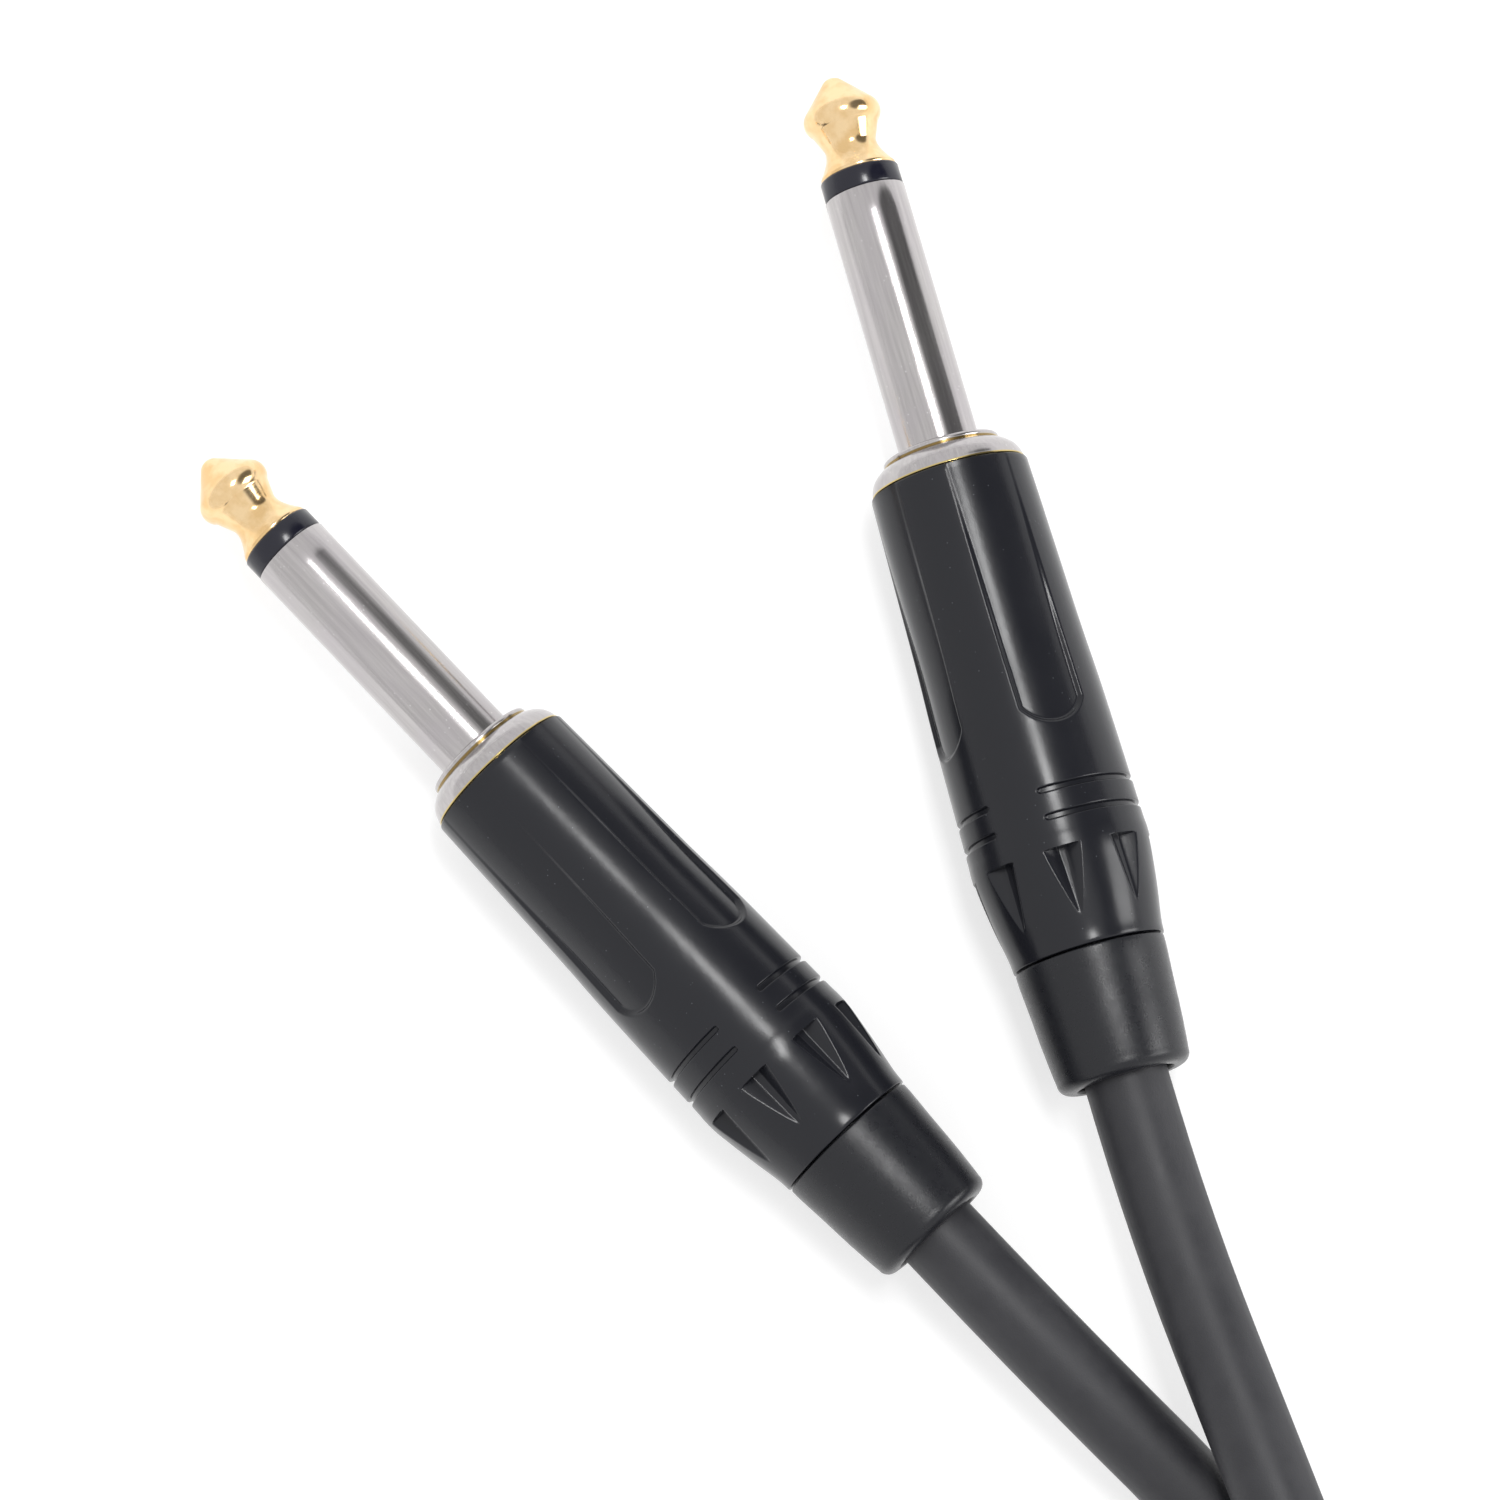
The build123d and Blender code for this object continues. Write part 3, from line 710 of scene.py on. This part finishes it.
class Paint:
    """A node material: a Principled shader and the few textures that these surfaces need."""

    def __init__(self, name, colour, roughness, metallic=0.0, **inputs):
        self.material = bpy.data.materials.new(name)
        self.material.use_nodes = True
        self.tree = self.material.node_tree
        self.shader = self.tree.nodes["Principled BSDF"]
        self.set("Base Color", (*colour, 1))
        self.set("Roughness", roughness)
        self.set("Metallic", metallic)
        for key, value in inputs.items():
            self.set(key.replace("_", " "), value)
        self.where = self.tree.nodes.new("ShaderNodeTexCoord").outputs["Object"]

    def set(self, socket, value):
        self.shader.inputs[socket].default_value = value

    def link(self, output, target):
        self.tree.links.new(output, target)

    def stretched(self, x, y, z):
        """Object coordinates in millimetres, scaled along each axis."""
        node = self.tree.nodes.new("ShaderNodeMapping")
        node.inputs["Scale"].default_value = (x / MM, y / MM, z / MM)
        self.link(self.where, node.inputs["Vector"])
        return node.outputs["Vector"]

    def noise(self, x, y, z, detail=4.0, rough=0.55):
        """Noise with this many cells per millimetre along each axis."""
        node = self.tree.nodes.new("ShaderNodeTexNoise")
        node.inputs["Scale"].default_value = 1.0
        node.inputs["Detail"].default_value = detail
        node.inputs["Roughness"].default_value = rough
        self.link(self.stretched(x, y, z), node.inputs["Vector"])
        return node.outputs["Fac"]

    def specks(self, cells, size):
        """1 in small round spots with soft rims, one spot to a cell, and 0 elsewhere."""
        node = self.tree.nodes.new("ShaderNodeTexVoronoi")
        node.inputs["Scale"].default_value = 1.0
        node.inputs["Randomness"].default_value = 1.0
        self.link(self.stretched(cells, cells, cells), node.inputs["Vector"])
        return self.remap(node.outputs["Distance"], size * 0.6, size, 1.0, 0.0)

    def remap(self, value, low, high, to_low, to_high):
        """A value moved from one range to another, and held within it."""
        node = self.tree.nodes.new("ShaderNodeMapRange")
        for key, number in zip(("From Min", "From Max", "To Min", "To Max"), (low, high, to_low, to_high)):
            node.inputs[key].default_value = number
        self.link(value, node.inputs["Value"])
        return node.outputs["Result"]

    def times(self, one, other):
        node = self.tree.nodes.new("ShaderNodeMath")
        node.operation = "MULTIPLY"
        self.link(one, node.inputs[0])
        self.link(other, node.inputs[1])
        return node.outputs["Value"]

    def band(self, low, high):
        """1 between two stations of a plug, 0 elsewhere."""
        split = self.tree.nodes.new("ShaderNodeSeparateXYZ")
        self.link(self.where, split.inputs["Vector"])
        at = split.outputs["Z"]
        after = self.remap(at, (low - 0.05) * MM, low * MM, 0, 1)
        return self.times(after, self.remap(at, high * MM, (high + 0.05) * MM, 1, 0))

    def dust(self, cells, size, patches, low, high, detail=4.0):
        """Specks that lie only in patches, where a coarser noise is high."""
        spots = self.specks(cells, size)
        return self.times(spots, self.remap(self.noise(patches, patches, patches, detail), low, high, 0, 1))

    def blend(self, mask, one, other):
        """A colour between two, each a colour or an earlier blend."""
        node = self.tree.nodes.new("ShaderNodeMix")
        node.data_type = "RGBA"
        self.link(mask, node.inputs["Factor"])
        # a Mix node's colour inputs are its sockets 6 and 7, and its colour output is number 2
        for socket, value in ((node.inputs[6], one), (node.inputs[7], other)):
            if isinstance(value, tuple):
                socket.default_value = (*value, 1)
            else:
                self.link(value, socket)
        return node.outputs[2]

    def colour(self, output):
        self.link(output, self.shader.inputs["Base Color"])

    def mottle(self, value, low, high, one, other):
        """A base colour that goes from one to the other as a noise goes from low to high."""
        self.colour(self.blend(self.remap(value, low, high, 0, 1), one, other))

    def rough(self, value, low, high):
        """A roughness that goes from low to high over most of a noise's range."""
        self.link(self.remap(value, 0.3, 0.7, low, high), self.shader.inputs["Roughness"])

    def bump(self, value, height_mm, strength=1.0):
        """Relief from a noise, added to any relief already there."""
        node = self.tree.nodes.new("ShaderNodeBump")
        node.inputs["Strength"].default_value = strength
        node.inputs["Distance"].default_value = height_mm * MM
        self.link(value, node.inputs["Height"])
        before = self.shader.inputs["Normal"].links
        if before:
            self.link(before[0].from_socket, node.inputs["Normal"])
        self.link(node.outputs["Normal"], self.shader.inputs["Normal"])


# the stations of the collar's two edges, where a yellow glint is painted on the nickel
RIM_GLINT_BAND = (33.36, 33.6)
LIP_GLINT_BAND = (31.4, 31.52)


def nickel():
    """Worn nickel plate: lengthwise streaks, a faint pink cloud, dust and a painted yellow glint on two
    edges.
    """
    paint = Paint("nickel_plate", (0.56, 0.54, 0.535), 0.16, 1.0)
    streaks = paint.noise(3.0, 3.0, 0.12, 6.0, 0.6)
    cloud = paint.noise(0.25, 0.25, 0.2, 3.0)
    tone = paint.blend(paint.remap(streaks, 0.35, 0.65, 0, 1), (0.43, 0.41, 0.41), (0.52, 0.5, 0.495))
    tone = paint.blend(paint.remap(cloud, 0.4, 0.65, 0, 0.5), tone, (0.47, 0.44, 0.46))
    tone = paint.blend(paint.dust(2.2, 0.13, 0.9, 0.5, 0.6), tone, (0.75, 0.74, 0.74))
    # painted highlight: a yellow tint on the collar's rim and lip stands in for the warm glint on these
    # edges
    tone = paint.blend(paint.band(*RIM_GLINT_BAND), tone, (0.6, 0.47, 0.2))
    tone = paint.blend(paint.band(*LIP_GLINT_BAND), tone, (0.5, 0.4, 0.22))
    paint.colour(tone)
    paint.rough(streaks, 0.13, 0.21)
    paint.bump(streaks, 0.004)
    paint.bump(paint.noise(6, 6, 6, 2.0), 0.0012)
    return paint.material


def gold():
    """Gold plate with fine lines round it from the lathe."""
    paint = Paint("gold_plate", (0.9, 0.66, 0.36), 0.15, 1.0)
    cloud = paint.noise(0.6, 0.6, 0.5, 4.0)
    paint.mottle(cloud, 0.4, 0.62, (0.92, 0.68, 0.39), (0.8, 0.54, 0.26))
    lathe = paint.noise(0.3, 0.3, 9.0, 3.0)
    paint.rough(lathe, 0.12, 0.2)
    paint.bump(lathe, 0.003)
    return paint.material


def lacquer():
    """Black lacquer with a faint orange peel and some dust."""
    paint = Paint("shell_lacquer", (0.01, 0.0105, 0.014), 0.21, IOR=1.4)
    peel = paint.noise(1.4, 1.4, 1.0, 3.0)
    paint.rough(paint.noise(0.5, 0.5, 0.3, 4.0), 0.19, 0.25)
    dust = paint.dust(1.6, 0.09, 0.35, 0.5, 0.56, 2.0)
    paint.colour(paint.blend(dust, (0.01, 0.0105, 0.014), (0.07, 0.075, 0.085)))
    paint.bump(peel, 0.006)
    paint.bump(paint.noise(9, 9, 9, 2.0), 0.0008)
    return paint.material


def satin_boot():
    """Black satin plastic with a fine grain and some dust."""
    paint = Paint("boot_grain", (0.01, 0.0105, 0.0135), 0.28, IOR=1.42)
    grain = paint.noise(11, 11, 11, 3.0, 0.65)
    paint.rough(paint.noise(1.2, 1.2, 1.2, 3.0), 0.25, 0.33)
    dust = paint.dust(2.4, 0.1, 0.8, 0.52, 0.58)
    paint.colour(paint.blend(dust, (0.01, 0.0105, 0.0135), (0.06, 0.062, 0.07)))
    paint.bump(grain, 0.012)
    return paint.material


def jacket():
    """The cable's dark rubbery jacket, grained and slightly uneven."""
    paint = Paint("cable_jacket", (0.02, 0.02, 0.024), 0.5)
    cloud = paint.noise(0.35, 0.35, 0.35, 4.0)
    paint.mottle(cloud, 0.35, 0.65, (0.017, 0.017, 0.021), (0.024, 0.024, 0.028))
    paint.rough(cloud, 0.46, 0.56)
    paint.bump(paint.noise(7, 7, 7, 3.0, 0.6), 0.014)
    paint.bump(paint.noise(0.8, 0.8, 0.8, 2.0), 0.03, 0.5)
    return paint.material


def insulator():
    """Glossy bluish black plastic, turned."""
    paint = Paint("ring_black", (0.004, 0.004, 0.012), 0.2)
    paint.rough(paint.noise(1.5, 1.5, 1.5), 0.16, 0.26)
    paint.bump(paint.noise(0.4, 0.4, 6.0, 2.0), 0.004)
    return paint.material


def moulded(name, dark, light, roughness):
    """Plain moulded plastic with faint clouds and a fine surface grain."""
    paint = Paint(name, light, roughness)
    cloud = paint.noise(0.4, 0.4, 0.4, 3.0)
    paint.mottle(cloud, 0.35, 0.65, dark, light)
    paint.rough(cloud, roughness - 0.05, roughness + 0.05)
    paint.bump(paint.noise(5, 5, 5, 3.0), 0.006)
    return paint.material


def tinned():
    """Tinned sheet with its rolling lines lengthwise."""
    paint = Paint("tinned_sheet", (0.6, 0.6, 0.59), 0.3, 1.0)
    rolled = paint.noise(5.0, 5.0, 0.3, 4.0)
    paint.mottle(rolled, 0.35, 0.65, (0.52, 0.52, 0.5), (0.66, 0.66, 0.65))
    paint.rough(rolled, 0.24, 0.4)
    paint.bump(rolled, 0.008)
    return paint.material


def copper():
    """Bare copper strands, lengthwise."""
    paint = Paint("copper_strands", (0.75, 0.36, 0.2), 0.3, 1.0)
    grain = paint.noise(9.0, 9.0, 0.8, 2.0)
    paint.mottle(grain, 0.4, 0.6, (0.5, 0.2, 0.1), (0.85, 0.44, 0.26))
    paint.rough(grain, 0.25, 0.4)
    paint.bump(grain, 0.06)
    return paint.material


def soldered():
    """A set drop of solder."""
    paint = Paint("solder_drop", (0.6, 0.6, 0.61), 0.28, 1.0)
    cloud = paint.noise(2.0, 2.0, 2.0, 4.0)
    paint.mottle(cloud, 0.4, 0.6, (0.5, 0.5, 0.51), (0.7, 0.7, 0.7))
    paint.rough(cloud, 0.2, 0.38)
    paint.bump(cloud, 0.05)
    return paint.material


def hook_and_loop():
    """The tie's rough black pile."""
    paint = Paint("loop_pile", (0.012, 0.012, 0.013), 0.85, Sheen_Weight=0.25)
    pile = paint.noise(4.5, 4.5, 4.5, 5.0, 0.7)
    paint.mottle(pile, 0.35, 0.65, (0.007, 0.007, 0.008), (0.022, 0.022, 0.024))
    paint.rough(pile, 0.75, 0.95)
    paint.bump(pile, 0.35)
    return paint.material


white = moulded("white_moulding", (0.68, 0.67, 0.63), (0.78, 0.77, 0.74), 0.42)
black = moulded("gland_black", (0.008, 0.008, 0.009), (0.013, 0.013, 0.014), 0.4)
tin = tinned()
solder = soldered()
strands = copper()

cable.data.materials.append(jacket())
tie.data.materials.append(hook_and_loop())
fit_plug(tip_mesh, "tip", "tip_contact", "cable_and_inserts", gold())
fit_plug(ring_mesh, "tip_ring", "tip_insulator", "cable_and_inserts", insulator())
fit_plug(sleeve_mesh, "sleeve_body", "sleeve", "cable_and_inserts", nickel())
fit_plug(shell_mesh, "shell_body", "shell", "shell_{end}", lacquer())
fit_plug(gland_mesh, "gland_body", "gland", "boot_{end}", black)
fit_plug(boot_mesh, "boot_body", "boot", "boot_{end}", satin_boot())

# the pieces that keep the CAD's own mesh, and what each is made of
KEPT = {
    "rod_insulator": white, "rear_insulator": white, "core": white, "liner": white, "chuck": white,
    "ground_lug": tin, "tip_lug": tin, "solder_tip": solder, "solder_ground": solder,
    "conductor": strands, "shield_tail": strands,
}
for name, finish in KEPT.items():
    for end in "ab":
        for held in frame["nodes"][f"{name}_{end}"].material_slots:
            held.material = finish
